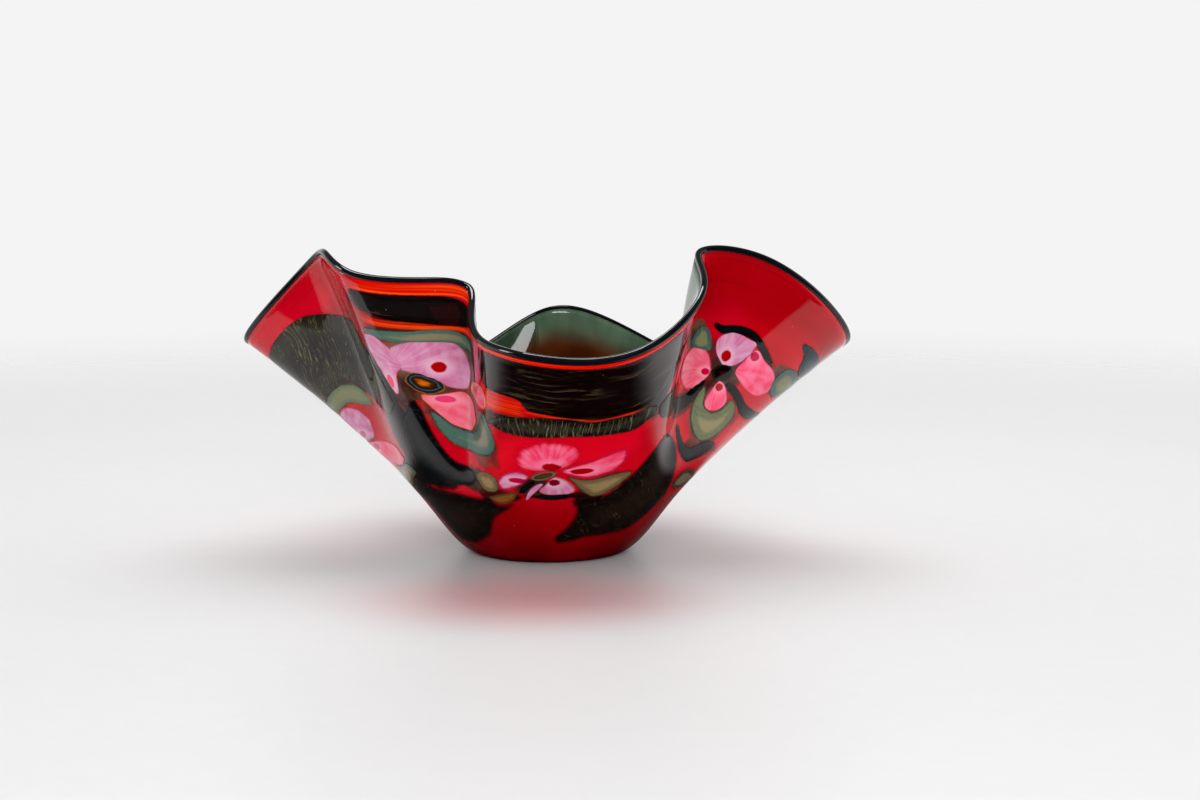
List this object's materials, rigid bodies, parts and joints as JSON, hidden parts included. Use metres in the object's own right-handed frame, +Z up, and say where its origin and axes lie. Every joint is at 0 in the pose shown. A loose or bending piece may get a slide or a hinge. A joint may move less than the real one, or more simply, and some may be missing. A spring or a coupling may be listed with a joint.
{
  "type": "art glass bowl",
  "caption": "Ruffled round blown-glass bowl with a flat foot, swung lobed rim, black lip wrap and laid-on glass flowers and leaves.",
  "frame": {"origin": "middle of the flat foot, on the surface that the bowl stands on", "axes": "+Z up, +X to the right along the two widest lobes, the front with the low front lobe faces -Y"},
  "size_m": [0.3616, 0.3008, 0.1886],
  "materials": {
    "ruby_glass": "glossy ruby red, dense enough to look opaque, orange where it thins under the rim",
    "inner_glass": "glossy dark green and brown, opaque",
    "lip_glass": "glossy black, fire-polished",
    "pink_glass": "glossy hot pink, paler in the middle, dark red spot at the root",
    "lilac_glass": "glossy pale lilac pink",
    "coral_glass": "glossy coral pink",
    "flower_centre_glass": "glossy, ringed black, teal and amber",
    "black_vine_glass": "glossy black",
    "umber_leaf_glass": "glossy dark brown, combed with fine tan lines",
    "olive_leaf_glass": "glossy olive, feathered edge",
    "teal_leaf_glass": "glossy grey teal with an olive edge",
    "tan_leaf_glass": "glossy tan and olive, combed"
  },
  "bodies": {
    "root": {"back_left_centre": "flower_centre_glass", "back_left_leaf": "umber_leaf_glass", "back_left_petal_left": "coral_glass", "back_left_petal_right": "lilac_glass", "back_left_petal_top": "pink_glass", "back_right_centre": "flower_centre_glass", "back_right_leaf": "umber_leaf_glass", "back_right_petal_left": "lilac_glass", "back_right_petal_low": "pink_glass", "back_right_petal_right": "lilac_glass", "back_right_petal_top": "pink_glass", "back_shade": "umber_leaf_glass", "front_calyx": "black_vine_glass", "front_calyx_left": "black_vine_glass", "front_flower_centre": "flower_centre_glass", "front_fringe": "olive_leaf_glass", "front_leaf_left": "tan_leaf_glass", "front_leaf_low": "tan_leaf_glass", "front_leaf_right": "tan_leaf_glass", "front_petal_bottom": "lilac_glass", "front_petal_curl": "lilac_glass", "front_petal_left": "lilac_glass", "front_petal_right": "pink_glass", "front_petal_top": "pink_glass", "front_shade": "umber_leaf_glass", "front_vine": "umber_leaf_glass", "inner_casing": "inner_glass", "left_flower_centre": "flower_centre_glass", "left_fringe": "olive_leaf_glass", "left_front_eye": "flower_centre_glass", "left_front_leaf_low": "teal_leaf_glass", "left_front_leaf_top": "teal_leaf_glass", "left_front_petal_left": "lilac_glass", "left_front_petal_low": "coral_glass", "left_front_petal_right": "coral_glass", "left_front_petal_top": "lilac_glass", "left_front_shade": "umber_leaf_glass", "left_leaf_big": "umber_leaf_glass", "left_leaf_dark": "umber_leaf_glass", "left_leaf_tan": "tan_leaf_glass", "left_petal_back": "lilac_glass", "left_petal_high": "lilac_glass", "left_petal_low": "pink_glass", "left_vine": "black_vine_glass", "lip_wrap": "lip_glass", "right_flower_centre": "flower_centre_glass", "right_leaf_far": "teal_leaf_glass", "right_leaf_left": "olive_leaf_glass", "right_leaf_low": "tan_leaf_glass", "right_leaf_right": "olive_leaf_glass", "right_leaf_ring": "teal_leaf_glass", "right_petal_left": "coral_glass", "right_petal_low": "pink_glass", "right_petal_right": "pink_glass", "right_petal_top": "lilac_glass", "right_stem_low": "black_vine_glass", "right_stem_top": "black_vine_glass", "right_vine": "black_vine_glass", "right_vine_low": "black_vine_glass", "ruby_wall": "ruby_glass"}
  },
  "joints": []
}
